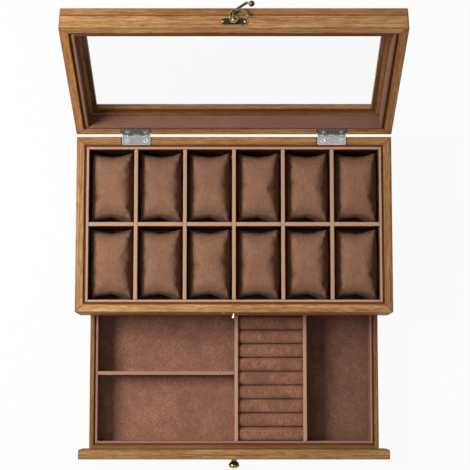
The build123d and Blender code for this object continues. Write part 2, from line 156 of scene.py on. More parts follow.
class Nodes:
    """Short ways to add the nodes that the materials share."""

    def __init__(self, tree):
        self.tree = tree

    def add(self, kind, **values):
        made = self.tree.nodes.new(kind)
        for key, value in values.items():
            setattr(made, key, value)
        return made

    def link(self, source, target):
        self.tree.links.new(source, target)

    def put(self, value, socket):
        """Links an output to a socket, or sets the socket to a plain value."""
        if isinstance(value, bpy.types.NodeSocket):
            self.link(value, socket)
        else:
            socket.default_value = value

    def math(self, operation, a, b=0.0, clamp=False):
        made = self.add("ShaderNodeMath", operation=operation, use_clamp=clamp)
        self.put(a, made.inputs[0])
        self.put(b, made.inputs[1])
        return made.outputs[0]

    def place(self, turn=0.0, shift=0.0):
        """The object's own coordinates, turned back about X and shifted along all three axes."""
        coordinates = self.add("ShaderNodeTexCoord").outputs["Object"]
        turned = self.add("ShaderNodeMapping", vector_type="TEXTURE")
        self.link(coordinates, turned.inputs["Vector"])
        turned.inputs["Rotation"].default_value = (turn, 0, 0)
        return self.shift(turned.outputs["Vector"], shift)

    def shift(self, vector, distance):
        """Coordinates shifted by the same distance along all three axes."""
        made = self.add("ShaderNodeMapping")
        made.inputs["Location"].default_value = (distance, distance, distance)
        self.link(vector, made.inputs["Vector"])
        return made.outputs["Vector"]

    def quarter_turn(self, vector):
        """Coordinates turned by a right angle about Z, for boards whose grain runs along Y."""
        made = self.add("ShaderNodeMapping", vector_type="TEXTURE")
        made.inputs["Rotation"].default_value = (0, 0, math.pi / 2)
        self.link(vector, made.inputs["Vector"])
        return made.outputs["Vector"]

    def split(self, vector):
        """The three parts of a vector, by the names X, Y and Z."""
        made = self.add("ShaderNodeSeparateXYZ")
        self.link(vector, made.inputs[0])
        return made.outputs

    def noise(self, vector, scale, detail=3.0, roughness=0.55, distortion=0.0):
        made = self.add("ShaderNodeTexNoise")
        self.link(vector, made.inputs["Vector"])
        made.inputs["Scale"].default_value = scale
        made.inputs["Detail"].default_value = detail
        made.inputs["Roughness"].default_value = roughness
        made.inputs["Distortion"].default_value = distortion
        return made.outputs["Fac"]

    def ramp(self, value, *stops):
        """A colour ramp from pairs of place and colour, or of place and grey."""
        made = self.add("ShaderNodeValToRGB")
        self.link(value, made.inputs["Fac"])
        points = made.color_ramp.elements
        while len(points) < len(stops):
            points.new(1.0)
        for point, (place, colour) in zip(points, stops):
            point.position = place
            point.color = (colour, colour, colour, 1) if isinstance(colour, float) else (*colour, 1)
        return made.outputs["Color"]

    def mix(self, factor, a, b, blend="MIX"):
        made = self.add("ShaderNodeMix", data_type="RGBA", blend_type=blend)
        self.put(factor, made.inputs["Factor"])
        for value, socket in ((a, made.inputs["A"]), (b, made.inputs["B"])):
            self.put((*value, 1) if isinstance(value, tuple) else value, socket)
        return made.outputs["Result"]

    def bump(self, height, strength, distance, shader, rounded=0.0):
        """Feeds a bump, and a rounding of sharp edges, to the shader."""
        made = self.add("ShaderNodeBump")
        made.inputs["Strength"].default_value = strength
        made.inputs["Distance"].default_value = distance
        self.link(height, made.inputs["Height"])
        if rounded:
            soft = self.add("ShaderNodeBevel", samples=4)
            soft.inputs["Radius"].default_value = rounded
            self.link(soft.outputs["Normal"], made.inputs["Normal"])
        self.link(made.outputs["Normal"], shader.inputs["Normal"])

    def edge(self, radius):
        """1 along sharp edges and 0 away from them."""
        soft = self.add("ShaderNodeBevel", samples=4)
        soft.inputs["Radius"].default_value = radius
        sharp = self.add("ShaderNodeNewGeometry").outputs["Normal"]
        alike = self.add("ShaderNodeVectorMath", operation="DOT_PRODUCT")
        self.link(soft.outputs["Normal"], alike.inputs[0])
        self.link(sharp, alike.inputs[1])
        return self.ramp(alike.outputs["Value"], (0.8, 1.0), (0.98, 0.0))

    def hollow(self, reach, amount):
        """The given amount in corners and narrow gaps, and 0 on open faces."""
        near = self.add("ShaderNodeAmbientOcclusion", samples=5)
        near.inputs["Distance"].default_value = reach
        return self.ramp(near.outputs["AO"], (0.4, amount), (0.8, 0.0))

    def stretch(self, vector, scale):
        """Coordinates scaled apart on each axis, for grain."""
        made = self.add("ShaderNodeMapping")
        made.inputs["Scale"].default_value = scale
        self.link(vector, made.inputs["Vector"])
        return made.outputs["Vector"]

    def wander(self, vector):
        """Bends coordinates a little, so that grain doesn't run dead straight."""
        soft = self.add("ShaderNodeTexNoise")
        self.link(self.stretch(vector, (7, 22, 22)), soft.inputs["Vector"])
        soft.inputs["Detail"].default_value = 1.0
        centred = self.add("ShaderNodeVectorMath", operation="SUBTRACT")
        self.link(soft.outputs["Color"], centred.inputs[0])
        centred.inputs[1].default_value = (0.5, 0.5, 0.5)
        scaled = self.add("ShaderNodeVectorMath", operation="MULTIPLY")
        self.link(centred.outputs[0], scaled.inputs[0])
        scaled.inputs[1].default_value = (0.0, grain_wander, grain_wander)
        moved = self.add("ShaderNodeVectorMath", operation="ADD")
        self.link(vector, moved.inputs[0])
        self.link(scaled.outputs[0], moved.inputs[1])
        return moved.outputs[0]


def wood(name, grain="x", lid=False, tint=(1.0, 1.0, 1.0), seed=0.0):
    """Lacquered hardwood whose fibres run along one axis of the board."""
    material, tree, shader = new_material(name)
    n = Nodes(tree)
    board = n.place(turn=lid_angle if lid else 0.0, shift=seed)
    if grain == "y":
        board = n.quarter_turn(board)
    finish_wood(n, shader, n.wander(board), tint)
    return material


def finish_wood(n, shader, board, tint):
    """Gives the shader the wood's colour, pores, darker edges and painted shade in corners and gaps, on
    coordinates along the grain.
    """
    figure = n.noise(n.stretch(board, (4, 170, 170)), 1.0, detail=2.0, distortion=0.1)
    streaks = n.noise(n.stretch(board, (9, 640, 640)), 1.0, detail=3.0, roughness=0.65)
    fibres = n.noise(n.stretch(board, (60, 1200, 1200)), 1.0, detail=2.0)
    pores = n.noise(n.stretch(board, (70, 1500, 1500)), 1.0, detail=1.0)
    clouds = n.noise(board, 14.0, detail=2.0)
    tone = n.math("MULTIPLY", figure, 0.2)
    tone = n.math("ADD", tone, n.math("MULTIPLY", streaks, 0.5))
    tone = n.math("ADD", tone, n.math("MULTIPLY", fibres, 0.3))
    dark, middle, light = [
        tuple(a * b for a, b in zip(shade, tint)) for shade in (wood_dark, wood_middle, wood_light)
    ]
    colour = n.ramp(tone, (0.4, dark), (0.5, middle), (0.6, light))
    colour = n.mix(n.ramp(clouds, (0.35, 0.0), (0.65, 0.6)), colour, wood_red, "MULTIPLY")
    pore_mask = n.ramp(pores, (0.34, 1.0), (0.42, 0.0))
    colour = n.mix(n.math("MULTIPLY", pore_mask, 0.6), colour, wood_pore)
    # Darker along sharp edges
    colour = n.mix(n.math("MULTIPLY", n.edge(edge_dark_reach), 0.75), colour, wood_edge_and_shade)
    # Painted shade: darker in corners, joints and narrow gaps, where shade falls
    colour = n.mix(n.hollow(painted_shade_reach, 0.85), colour, wood_edge_and_shade)
    n.link(colour, shader.inputs["Base Color"])
    rough = n.ramp(streaks, (0.3, 0.5), (0.7, 0.62))
    n.link(rough, shader.inputs["Roughness"])
    shader.inputs["Specular IOR Level"].default_value = 0.1
    height = n.math("SUBTRACT", fibres, n.math("MULTIPLY", pore_mask, 0.8))
    n.bump(height, 0.35, 0.00012, shader, rounded=0.0006)


def frame_wood(name, tint, seed):
    """The wood of the lid's four mitred frame boards, whose grain turns at the mitres."""
    material, tree, shader = new_material(name)
    n = Nodes(tree)
    closed = n.add("ShaderNodeMapping", vector_type="TEXTURE")
    n.link(n.add("ShaderNodeTexCoord").outputs["Object"], closed.inputs["Vector"])
    closed.inputs["Location"].default_value = (0, *lid_pin)
    closed.inputs["Rotation"].default_value = (lid_angle, 0, 0)
    place = closed.outputs["Vector"]
    parts = n.split(place)
    from_side = n.math("SUBTRACT", half_width, n.math("ABSOLUTE", parts["X"]))
    from_middle = n.math("ADD", parts["Y"], lid_pin[0])
    from_end = n.math("SUBTRACT", half_depth, n.math("ABSOLUTE", from_middle))
    is_side = n.math("LESS_THAN", from_side, from_end)
    # The vector inputs A and B of the mix are its sockets 4 and 5, and its vector result is output 1
    chosen = n.add("ShaderNodeMix", data_type="VECTOR")
    n.link(is_side, chosen.inputs["Factor"])
    n.link(place, chosen.inputs[4])
    n.link(n.quarter_turn(place), chosen.inputs[5])
    finish_wood(n, shader, n.wander(n.shift(chosen.outputs[1], seed)), tint)
    return material


def velvet(name, colour, nap=0.12, painted_top_light=None, side=None, sheen=0.05, gloss=0.05, lid=False, streak=False,
           shade_past_x=None):
    """Short-pile velvet, with a mottled nap and pressed patches.

    The lighter top colour is painted light on edges that face up. With a side colour,
    slopes take painted shade and steep sides take that colour as painted light. Past the
    x given last, the cloth takes a painted shadow.
    """
    material, tree, shader = new_material(name)
    n = Nodes(tree)
    place = n.place()
    fine = n.noise(n.stretch(place, (1500, 1500, 1500)), 1.0, detail=2.0, roughness=0.7)
    mottling = (1100, 150, 900) if streak else (760, 760, 760)
    weave = n.noise(n.stretch(place, mottling), 1.0, detail=4.0, roughness=0.7)
    patches = n.noise(place, 40.0, detail=6.0, roughness=0.68)
    tone = n.math("ADD", n.math("MULTIPLY", fine, 0.5), n.math("MULTIPLY", weave, 0.5))
    dark = tuple(c * (1 - nap * nap_contrast) for c in colour)
    light = tuple(min(1.0, c * (1 + nap * nap_contrast)) for c in colour)
    shade = n.ramp(tone, (0.32, dark), (0.5, colour), (0.68, light))
    pressed = n.math("MULTIPLY", n.ramp(patches, (0.36, 1.0), (0.6, 0.0)), min(1.0, nap * nap_pressing))
    shade = n.mix(pressed, shade, tuple(c * 0.55 for c in colour))
    # Painted light: the cloth that faces up takes the lighter top colour
    if painted_top_light:
        up = n.add("ShaderNodeVectorMath", operation="DOT_PRODUCT")
        n.link(n.add("ShaderNodeTexCoord").outputs["Normal"], up.inputs[0])
        angle = lid_angle if lid else 0.0
        sign = -1.0 if lid else 1.0
        up.inputs[1].default_value = (0, -math.sin(angle) * sign, math.cos(angle) * sign)
        top = n.ramp(up.outputs["Value"], (0.55, 0.0), (0.95, 1.0))
        shade = n.mix(n.math("MULTIPLY", top, n.ramp(tone, (0.3, 0.75), (0.7, 1.0))), shade, painted_top_light)
    # Painted shade where the cloth slopes, and the side colour painted as light on steep sides
    if side:
        facing = n.split(n.add("ShaderNodeTexCoord").outputs["Normal"])
        slope_shade = n.math("MULTIPLY", n.ramp(facing["Z"], (0.72, 1.0), (0.97, 0.0)), 0.7)
        shade = n.mix(slope_shade, shade, tuple(c * 0.3 for c in colour))
        steep = n.ramp(n.math("ABSOLUTE", facing["X"]), (0.7, 0.0), (0.95, 1.0))
        shade = n.mix(steep, shade, side)
    # Painted shadow on the cloth past the given x
    if shade_past_x is not None:
        past = n.ramp(n.split(place)["X"], (shade_past_x, 0.0), (shade_past_x + 0.002, 1.0))
        painted_shadow = n.math("MULTIPLY", past, 0.34)
        shade = n.mix(painted_shadow, shade, tuple(c * 0.1 for c in colour))
    n.link(shade, shader.inputs["Base Color"])
    shader.inputs["Roughness"].default_value = 0.92
    shader.inputs["Specular IOR Level"].default_value = gloss
    shader.inputs["Sheen Weight"].default_value = sheen
    shader.inputs["Sheen Roughness"].default_value = 0.4
    shader.inputs["Sheen Tint"].default_value = (1.0, 0.78, 0.66, 1)
    n.bump(tone, 0.6, 0.00025, shader)
    return material


def metal(name, colour, tarnish, roughness=(0.22, 0.4), tarnish_amount=0.5, wear_and_glint=0.0, rim=0.001, crevice_tarnish_and_shade=0.0):
    """Plated metal, tarnished in patches, darker in crevices by tarnish and painted shade, and brighter along
    its edges by wear and a painted glint.
    """
    material, tree, shader = new_material(name)
    n = Nodes(tree)
    place = n.place()
    patches = n.noise(place, 420.0, detail=4.0, roughness=0.6)
    grain = n.noise(n.stretch(place, (300, 5200, 5200)), 1.0, detail=2.0)
    stain = n.math("MULTIPLY", n.ramp(patches, (0.38, 0.0), (0.66, 1.0)), tarnish_amount)
    shade = n.mix(stain, colour, tarnish)
    # Brighter and less metallic along edges: partly wear, partly a painted glint
    if wear_and_glint:
        rubbed_and_glint = n.math("MULTIPLY", n.edge(rim), wear_and_glint)
        shade = n.mix(rubbed_and_glint, shade, tuple(min(0.95, c * 4.6) for c in colour))
    # Darker in crevices: partly tarnish, partly painted shade
    if crevice_tarnish_and_shade:
        shade = n.mix(n.hollow(0.0022, crevice_tarnish_and_shade), shade, tuple(c * 0.3 for c in tarnish))
    n.link(shade, shader.inputs["Base Color"])
    shader.inputs["Metallic"].default_value = 1.0
    if wear_and_glint:
        n.link(n.ramp(rubbed_and_glint, (0.0, 1.0), (1.0, 0.3)), shader.inputs["Metallic"])
    n.link(n.ramp(patches, (0.3, roughness[0]), (0.7, roughness[1])), shader.inputs["Roughness"])
    n.bump(grain, 0.2, 0.00005, shader, rounded=0.00025)
    return material


def clear_glass(name):
    """Window glass that lets the light through and mirrors a little at a slant."""
    material = bpy.data.materials.new(name)
    material.use_nodes = True
    tree = material.node_tree
    tree.nodes.clear()
    n = Nodes(tree)
    clear = n.add("ShaderNodeBsdfTransparent")
    clear.inputs["Color"].default_value = (0.985, 0.992, 0.988, 1)
    mirror = n.add("ShaderNodeBsdfGlossy")
    mirror.inputs["Roughness"].default_value = 0.02
    fresnel = n.add("ShaderNodeFresnel")
    fresnel.inputs["IOR"].default_value = 1.45
    outside = n.math("SUBTRACT", 1.0, n.add("ShaderNodeNewGeometry").outputs["Backfacing"])
    shine = n.math("MULTIPLY", n.math("MULTIPLY", fresnel.outputs[0], outside), 0.35)
    both = n.add("ShaderNodeMixShader")
    n.link(shine, both.inputs[0])
    n.link(clear.outputs[0], both.inputs[1])
    n.link(mirror.outputs[0], both.inputs[2])
    output = n.add("ShaderNodeOutputMaterial")
    n.link(both.outputs[0], output.inputs["Surface"])
    return material


def paint(name, material):
    """Gives a node of the model its material."""
    mesh = nodes[name].data
    mesh.materials.clear()
    mesh.materials.append(material)


# Mesh helpers

def about_pin(point, angle):
    """A point turned about the lid's hinge line."""
    pin = Vector((0, *lid_pin))
    return Matrix.Rotation(angle, 4, "X") @ (point - pin) + pin


def solid_boxes(name):
    """The low and high corners of each separate solid of a node."""
    work = bmesh.new()
    work.from_mesh(nodes[name].data)
    bmesh.ops.remove_doubles(work, verts=work.verts, dist=1e-6)
    left = set(work.verts)
    boxes = []
    while left:
        island, edge = set(), {left.pop()}
        while edge:
            island |= edge
            edge = {e.other_vert(v) for v in edge for e in v.link_edges} - island
        left -= island
        low = Vector([min(v.co[k] for v in island) for k in range(3)])
        high = Vector([max(v.co[k] for v in island) for k in range(3)])
        boxes.append((low, high))
    work.free()
    return sorted(boxes, key=lambda box: (round(box[0].x, 4), round(box[0].y, 4)))


def lining_boxes(name, lid=False):
    """The low and high corners of four boards that line a rectangle and butt at its corners."""
    points = [about_pin(v.co, -lid_angle) if lid else v.co for v in nodes[name].data.vertices]
    x = sorted({round(p.x, 5) for p in points})
    y = sorted({round(p.y, 5) for p in points})
    z = (min(p.z for p in points), max(p.z for p in points))
    spans = [
        (x[0], x[1], y[0], y[-1]),
        (x[-2], x[-1], y[0], y[-1]),
        (x[1], x[-2], y[0], y[1]),
        (x[1], x[-2], y[-2], y[-1]),
    ]
    return [(Vector((a, c, z[0])), Vector((b, d, z[1]))) for a, b, c, d in spans]


def new_piece(name, work, material, body, *replaced, slot):
    """Makes a mesh object from a bmesh, dresses it and lets it ride on its body."""
    bmesh.ops.recalc_face_normals(work, faces=work.faces)
    mesh = bpy.data.meshes.new(name)
    work.to_mesh(mesh)
    work.free()
    mesh.materials.append(material)
    for face in mesh.polygons:
        face.use_smooth = True
    piece = bpy.data.objects.new(name, mesh)
    bpy.context.scene.collection.objects.link(piece)
    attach(piece, body)
    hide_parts(*replaced)
    return piece


def skin(work, rings):
    """Joins each ring of vertices to the next with a band of faces."""
    count = len(rings[0])
    for first, second in zip(rings, rings[1:]):
        for k in range(count):
            work.faces.new((first[k], first[(k + 1) % count], second[(k + 1) % count], second[k]))


def steps(low, high, radius, pitch):
    """Places along one side of a padded board: close together at its rounded ends."""
    inner = max(1, round((high - low - 2 * radius) / pitch))
    middle = [low + radius + (high - low - 2 * radius) * k / inner for k in range(inner + 1)]
    round_in = [low + radius * (1 - math.cos(k * math.pi / 6)) for k in range(3)]
    round_out = [high - radius * (1 - math.cos(k * math.pi / 6)) for k in (2, 1, 0)]
    return [*round_in, *middle, *round_out]


def padded_board(work, low, high, radius, puff=0.0, seed=0.0):
    """Adds a board wrapped in cloth: rounded edges and faces that swell and ripple a little."""
    centre = (low + high) / 2
    core = (high - low) / 2 - Vector((radius, radius, radius))
    ticks = [steps(low[k], high[k], radius, board_pitch) for k in range(3)]
    made = {}

    def vertex(i, j, k):
        key = (i, j, k)
        if key not in made:
            point = Vector((ticks[0][i], ticks[1][j], ticks[2][k])) - centre
            inside = Vector([max(-core[a], min(core[a], point[a])) for a in range(3)])
            out = point - inside
            normal = out.normalized() if out.length > 1e-9 else Vector((0, 0, 1))
            rounded = inside + normal * radius
            ripple = noise.noise((rounded + centre) * board_ripples + Vector((seed, seed, seed)))
            rounded += normal * (puff * ripple)
            made[key] = work.verts.new(rounded + centre)
        return made[key]

    last = [len(t) - 1 for t in ticks]
    for axis in range(3):
        a, b = [k for k in range(3) if k != axis]
        for end in (0, last[axis]):
            for p in range(last[a]):
                for q in range(last[b]):
                    corners = []
                    for dp, dq in ((0, 0), (1, 0), (1, 1), (0, 1)):
                        index = [0, 0, 0]
                        index[axis], index[a], index[b] = end, p + dp, q + dq
                        corners.append(vertex(*index))
                    work.faces.new(corners)


# Materials

# The tints make lighter and darker copies of one wood and paint the light and shade on each board, darkest on
# the drawer's inner boards, which sit low
walnut_front = wood("walnut_front", "x", seed=1.3)
walnut_rear = wood("walnut_rear", "x", tint=(0.76, 0.7, 0.66), seed=1.9)
walnut_left = wood("walnut_left", "y", tint=(0.84, 0.86, 0.92), seed=2.1)
walnut_right = wood("walnut_right", "y", tint=(0.72, 0.7, 0.7), seed=2.8)
walnut_lid_x = wood("walnut_lid_x", "x", lid=True, seed=3.7)
walnut_lid_left = wood("walnut_lid_left", "y", lid=True, tint=(1.06, 0.94, 0.84), seed=4.9)
walnut_lid_right = wood("walnut_lid_right", "y", lid=True, tint=(0.9, 0.8, 0.7), seed=4.4)
walnut_frame = frame_wood("walnut_frame", tint=(0.76, 0.7, 0.64), seed=5.2)
drawer_face_wood = wood("drawer_face_wood", "x", tint=(0.73, 0.7, 0.66), seed=7.7)
drawer_wood_x = wood("drawer_wood_x", "x", tint=(0.47, 0.37, 0.31), seed=8.1)
drawer_wood_y = wood("drawer_wood_y", "y", tint=(0.6, 0.56, 0.53), seed=9.4)
hidden_wood = wood("hidden_wood", "x", tint=(0.85, 0.85, 0.85), seed=6.6)

# The pillows' slopes take painted shade and their steep sides a lighter side colour as painted light
pillow_cloth = velvet("pillow_cloth", (0.228, 0.113, 0.068), nap=0.2, side=(0.28, 0.12, 0.055),
                      sheen=0.06, streak=True)
# A darker copy of the velvet that paints the shade inside the tray's deep slots; its top colour is painted
# light
tray_cloth = velvet("tray_cloth", (0.085, 0.036, 0.022), nap=0.15, painted_top_light=(0.46, 0.275, 0.175),
                    sheen=0.0, gloss=0.03)
# The lighter top colours of these velvets are painted light on edges that face up
divider_cloth = velvet("divider_cloth", (0.2, 0.09, 0.06), nap=0.15, painted_top_light=(0.44, 0.25, 0.165))
lining_cloth = velvet("lining_cloth", (0.2, 0.09, 0.06), nap=0.15, painted_top_light=(0.29, 0.155, 0.115))
lid_cloth = velvet("lid_cloth", (0.18, 0.085, 0.058), nap=0.18, painted_top_light=(0.27, 0.14, 0.092), lid=True)
# Dark cloth that fills the grooves between the linings and the walls, standing in for their shade
shade_cloth = velvet("shade_cloth", (0.15, 0.046, 0.016), nap=0.1, sheen=0.0)
floor_cloth = velvet("floor_cloth", (0.25, 0.118, 0.076), nap=0.36)
# The drawer floor takes a painted shadow past the right divider
drawer_floor_cloth = velvet("drawer_floor_cloth", (0.25, 0.118, 0.076), nap=0.36,
                            shade_past_x=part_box("drawer_divider_right")[0].x)
# A copy of the divider velvet with a darker top colour, as painted shade on the cross divider
cross_cloth = velvet("cross_cloth", (0.2, 0.09, 0.06), nap=0.15, painted_top_light=(0.35, 0.19, 0.125))
roll_cloth = velvet("roll_cloth", (0.25, 0.112, 0.07), nap=0.45, streak=True)
felt_cloth = velvet("felt_cloth", (0.16, 0.08, 0.055), nap=0.15)

# The hinge's bright edges are partly a painted glint, and its dark gaps painted shade
nickel = metal("nickel", (0.78, 0.78, 0.77), (0.34, 0.33, 0.32), (0.24, 0.38),
               wear_and_glint=0.8, rim=0.0014, crevice_tarnish_and_shade=0.97)
# A darker copy of the nickel, painting the shade on the lid's leaves
shaded_nickel = metal("shaded_nickel", (0.4, 0.4, 0.39), (0.2, 0.19, 0.18), (0.2, 0.34),
                    wear_and_glint=0.5, rim=0.0012, crevice_tarnish_and_shade=0.97)
steel = metal("steel", (0.55, 0.55, 0.56), (0.3, 0.3, 0.3), (0.3, 0.45))
# The latch's bright edges are partly wear and partly a painted glint
antique = metal("antique", antique_brown, antique_tarnish, (0.3, 0.44), tarnish_amount=0.8,
                wear_and_glint=1.0, rim=0.0014, crevice_tarnish_and_shade=0.9)
dark_brass = metal("dark_brass", antique_brown, antique_tarnish, (0.3, 0.44), tarnish_amount=0.8,
                   crevice_tarnish_and_shade=0.9)
brass = metal("brass", (0.36, 0.27, 0.11), (0.09, 0.065, 0.025), (0.1, 0.2), tarnish_amount=0.6)
bright_brass = metal("bright_brass", (0.46, 0.36, 0.22), (0.2, 0.15, 0.08), (0.28, 0.42),
                     tarnish_amount=0.5, crevice_tarnish_and_shade=0.85)
pane = clear_glass("pane")

paint("front_panel", walnut_front)
paint("case_wall_rear", walnut_rear)
paint("case_wall_left", walnut_left)
paint("case_wall_right", walnut_right)
for name in ("lid_rail_front", "lid_rail_rear"):
    paint(name, walnut_lid_x)
paint("lid_rail_left", walnut_lid_left)
paint("lid_rail_right", walnut_lid_right)
paint("lid_frame", walnut_frame)
paint("lid_glass", pane)
paint("drawer_front", drawer_face_wood)
paint("drawer_box_front", drawer_wood_x)
paint("drawer_back", drawer_wood_x)
for name in ("drawer_side_left", "drawer_side_right"):
    paint(name, drawer_wood_y)
for name in ("shelf", "base_board", "drawer_bottom", "drawer_guides", "drawer_stop"):
    paint(name, hidden_wood)
for name in nodes:
    if name.startswith("hinge"):
        paint(name, shaded_nickel if "leaf_lid" in name else nickel)
for name in ("latch_plate", "latch_nails", "latch_rivet", "latch_hook"):
    paint(name, antique)
paint("strike_plate", dark_brass)
for name in ("strike_stud", "strike_nails"):
    paint(name, bright_brass)
paint("knob", brass)
paint("knob_screw", steel)


# Velvet-covered boards

def padded_boards(name, boxes, material, body, *replaced, slot="lining_velvet", radius=board_radius,
                  puff=board_puff, shade_boxes=()):
    """One piece of boards wrapped in cloth; the boxes given last take the dark cloth that paints shade."""
    work = bmesh.new()
    for number, (low, high) in enumerate(boxes):
        padded_board(work, low, high, radius, puff, seed=number * board_seed_step)
    covered = len(work.faces)
    for low, high in shade_boxes:
        padded_board(work, low, high, radius)
    piece = new_piece(name, work, material, body, *replaced, slot=slot)
    if shade_boxes:
        piece.data.materials.append(shade_cloth)
        for face in piece.data.polygons[covered:]:
            face.material_index = 1
    return piece


def groove_shade_boxes(boxes, groove, lid=False):
    """Dark cloth set into the groove around four lining boards, a little way in from their edges, painting the
    groove's shade.
    """
    low = Vector([min(box[0][k] for box in boxes) for k in range(3)])
    high = Vector([max(box[1][k] for box in boxes) for k in range(3)])
    z = (low.z + groove_shade_depth, high.z) if lid else (low.z, high.z - groove_shade_depth)
    spans = [
        (low.x - groove, low.x, low.y - groove, high.y + groove),
        (high.x, high.x + groove, low.y - groove, high.y + groove),
        (low.x, high.x, low.y - groove, low.y),
        (low.x, high.x, high.y, high.y + groove),
    ]
    return [(Vector((a, c, z[0])), Vector((b, d, z[1]))) for a, b, c, d in spans]


padded_boards("tray_floor_cloth", [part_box("tray_velvet")], floor_cloth, "case", "tray_velvet",
              slot="floor_velvet", radius=floor_radius)
tray_boxes = lining_boxes("tray_lining")
padded_boards("tray_wall_cloth", tray_boxes, tray_cloth, "case", "tray_lining",
              shade_boxes=groove_shade_boxes(tray_boxes, tray_groove))

# The column dividers stand on the floor cloth, and the long divider runs in lengths between them
tray_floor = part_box("tray_velvet")[1].z
column_boxes = [(Vector((low.x, low.y, tray_floor)), high) for low, high in solid_boxes("tray_dividers")]
padded_boards("tray_column_cloth", column_boxes, tray_cloth, "case", "tray_dividers")
row_low, row_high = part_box("tray_divider_long")
row_edges = [row_low.x, *[x for low, high in column_boxes for x in (low.x, high.x)], row_high.x]
row_boxes = [(Vector((a, row_low.y, row_low.z)), Vector((b, row_high.y, row_high.z)))
             for a, b in zip(row_edges[::2], row_edges[1::2])]
padded_boards("tray_row_cloth", row_boxes, tray_cloth, "case", "tray_divider_long")

padded_boards("drawer_floor_cloth", [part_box("drawer_velvet")], drawer_floor_cloth, "drawer", "drawer_velvet",
              slot="floor_velvet", radius=floor_radius)
drawer_boxes = lining_boxes("drawer_lining")
padded_boards("drawer_wall_cloth", drawer_boxes, lining_cloth, "drawer", "drawer_lining",
              shade_boxes=groove_shade_boxes(drawer_boxes, drawer_groove))
for side, cloth in (("left", divider_cloth), ("right", divider_cloth), ("cross", cross_cloth)):
    node = f"drawer_divider_{side}"
    padded_boards(f"{node}_cloth", [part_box(node)], cloth, "drawer", node)

lid_left, lid_right, lid_front, lid_rear = lining_boxes("lid_lining", lid=True)
lid_groove_shades = groove_shade_boxes([lid_left, lid_right, lid_front, lid_rear], lid_groove, lid=True)
# The lid's front lining board takes the dark groove cloth as painted shade
lid_walls = padded_boards("lid_wall_cloth", [lid_left, lid_right, lid_rear], lid_cloth, "lid", "lid_lining",
                          shade_boxes=[lid_front, *lid_groove_shades])
for corner in lid_walls.data.vertices:
    corner.co = about_pin(corner.co, lid_angle)
padded_boards("base_felt_cloth", [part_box("base_felt")], felt_cloth, "case", "base_felt", slot="felt",
              radius=felt_radius, puff=0.0)


# Ring rolls

def ring_roll(work, low, high, seed):
    """Adds a foam roll: a rounded crown that swells between the cloth's ends."""
    width = high.y - low.y
    rows = []
    for x in steps(low.x, high.x, roll_end_radius, roll_pitch):
        row = []
        from_end = min(x - low.x, high.x - x)
        tuck = roll_tuck * math.exp(-from_end / roll_end_radius)
        for k in range(roll_turns + 1):
            angle = math.pi * k / roll_turns
            y = -math.cos(angle) * width / 2
            z = math.sin(angle) ** roll_crown_power * roll_crown
            point = Vector((x, (low.y + high.y) / 2 + y, high.z - roll_crown + z - tuck))
            ripple = noise.noise(point * roll_ripples + Vector((seed, 0, 0))) * math.sin(angle)
            point.z += roll_ripple * ripple
            row.append(work.verts.new(point))
        for y in (high.y, low.y):
            row.append(work.verts.new((x, y, low.z)))
        rows.append(row)
    skin(work, rows)
    for end in (rows[0], rows[-1]):
        work.faces.new(end)


work = bmesh.new()
for number, (low, high) in enumerate(solid_boxes("ring_rolls")):
    ring_roll(work, low, high, number * roll_seed_step)
rolls = new_piece("ring_rolls_cloth", work, roll_cloth, "drawer", "ring_rolls", slot="lining_velvet")


# Watch pillows

def pillow_start(size, seed):
    """The sewn sleeve before it is stuffed, its ends drawn in between four ears."""
    work = bmesh.new()
    rows = []
    for station in range(-pillow_stations, pillow_stations + 1):
        s = math.sin(math.pi / 2 * station / pillow_stations)
        end = abs(s) ** pillow_waist_power
        wide = size.x * (pillow_waist + (1 - pillow_waist) * end)
        squareness = pillow_roundness + pillow_end_squareness * abs(s) ** pillow_square_power
        power = 2 / squareness
        row = []
        for k in range(pillow_turns):
            angle = 2 * math.pi * k / pillow_turns
            x = math.copysign(abs(math.cos(angle)) ** power, math.cos(angle))
            z = math.copysign(abs(math.sin(angle)) ** power, math.sin(angle))
            pinch = math.copysign(pillow_pinch * (1 - x * x) * end, s)
            drop = pillow_end_drop + (pillow_corner_drop - pillow_end_drop) * x * x
            tall = size.z - abs(s) ** pillow_drop_power * drop
            point = Vector((x * wide / 2, s * size.y / 2 - pinch, (z + 1) * tall / 2))
            point.x += pillow_ripple * noise.noise(point * pillow_ripples + Vector((seed, 0, 0)))
            row.append(work.verts.new(point))
        rows.append(row)
    skin(work, rows)
    for row, s in ((rows[0], -1), (rows[-1], 1)):
        centre = work.verts.new((0, s * (size.y / 2 - pillow_pinch - pillow_dimple), size.z / 2))
        for k in range(pillow_turns):
            work.faces.new((row[k], row[(k + 1) % pillow_turns], centre))
    bmesh.ops.recalc_face_normals(work, faces=work.faces)
    return work


